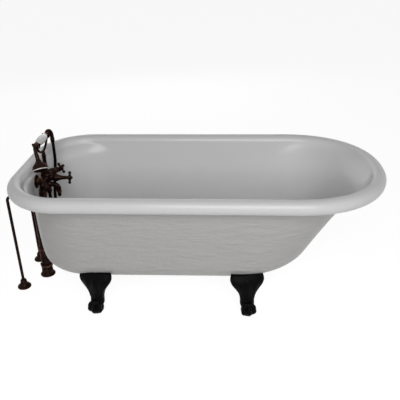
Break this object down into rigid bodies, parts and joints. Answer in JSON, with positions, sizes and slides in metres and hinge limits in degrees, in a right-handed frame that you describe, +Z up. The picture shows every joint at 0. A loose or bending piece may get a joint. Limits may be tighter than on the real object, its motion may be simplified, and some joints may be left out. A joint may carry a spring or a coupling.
{
  "type": "claw-foot bathtub",
  "caption": "Free-standing cast iron roll-top bath on claw feet, with a bronze telephone faucet, a lift-off hand shower on a hose, floor supply lines and an exposed waste and overflow.",
  "frame": {"origin": "on the floor, under the middle of the box round the tub and its fixed and lift-off fittings, the hose left out", "axes": "+X runs along the tub from the drain and faucet end to the rounded head end, +Y runs across it, +Z is up"},
  "size_m": [1.5987, 0.7614, 0.6865],
  "materials": {
    "enamelled_iron": "glossy white vitreous enamel on the outside, the roll and the basin",
    "black_iron": "satin black paint",
    "aged_bronze": "dark oiled bronze patina with copper-coloured wear on its edges",
    "hose_metal": "dark oiled bronze spiral-wound hose",
    "porcelain": "glossy white glaze",
    "rubber": "matt"
  },
  "bodies": {
    "tub": {"tub_shell": "enamelled_iron", "foot_drain_near": "black_iron", "foot_drain_far": "black_iron", "foot_head_near": "black_iron", "foot_head_far": "black_iron", "foot_bolts": "black_iron", "foot_washers": "black_iron", "drain_flange": "aged_bronze", "drain_gasket": "rubber", "drain_shoe": "aged_bronze", "waste_tube": "aged_bronze", "waste_tee": "aged_bronze", "slip_nuts": "aged_bronze", "overflow_tube": "aged_bronze", "overflow_elbow": "aged_bronze", "overflow_gasket": "rubber", "overflow_plate": "aged_bronze", "overflow_screws": "aged_bronze", "tail_tube": "aged_bronze", "waste_bell": "aged_bronze", "supply_tube_near": "aged_bronze", "supply_tube_far": "aged_bronze", "supply_nuts": "aged_bronze", "supply_bell_near": "aged_bronze", "supply_bell_far": "aged_bronze", "faucet_body": "aged_bronze", "wall_flanges": "aged_bronze", "faucet_shanks": "aged_bronze", "shank_gaskets": "rubber", "shank_locknuts": "aged_bronze", "inlet_nuts": "aged_bronze", "hot_bonnet": "aged_bronze", "cold_bonnet": "aged_bronze", "diverter_bonnet": "aged_bronze", "spout": "aged_bronze", "spout_tip": "aged_bronze", "cradle_post": "aged_bronze", "cradle_yoke": "aged_bronze", "shower_hose": "hose_metal", "hose_nut_lower": "aged_bronze"},
    "hot_valve": {"hot_stem": "aged_bronze", "hot_handle": "aged_bronze", "hot_button": "aged_bronze"},
    "cold_valve": {"cold_stem": "aged_bronze", "cold_handle": "aged_bronze", "cold_button": "aged_bronze"},
    "diverter_valve": {"diverter_stem": "aged_bronze", "diverter_handle": "aged_bronze", "diverter_button": "aged_bronze"},
    "handset": {"shower_grip": "porcelain", "shower_ferrules": "aged_bronze", "shower_head": "aged_bronze", "shower_ring": "porcelain", "shower_face": "aged_bronze", "shower_elbow": "aged_bronze", "hose_nut_upper": "aged_bronze"},
    "stopper": {"drain_stopper": "aged_bronze"}
  },
  "joints": [
    {"name": "hot_turn", "type": "hinge", "parent": "tub", "child": "hot_valve", "pos_m": [-0.6225, -0.062, 0.499], "axis": [0.5736, -0.8192, 0], "range_deg": [0, 90]},
    {"name": "cold_turn", "type": "hinge", "parent": "tub", "child": "cold_valve", "pos_m": [-0.6225, 0.062, 0.499], "axis": [0.5736, 0.8192, 0], "range_deg": [-90, 0]},
    {"name": "diverter_turn", "type": "hinge", "parent": "tub", "child": "diverter_valve", "pos_m": [-0.6225, 0, 0.499], "axis": [1, 0, 0], "range_deg": [0, 90]},
    {"name": "handset_lift", "type": "slide", "parent": "tub", "child": "handset", "axis": [0, 0, 1], "range_m": [0, 0.1]},
    {"name": "stopper_lift", "type": "slide", "parent": "tub", "child": "stopper", "axis": [0, 0, 1], "range_m": [0, 0.01]}
  ]
}
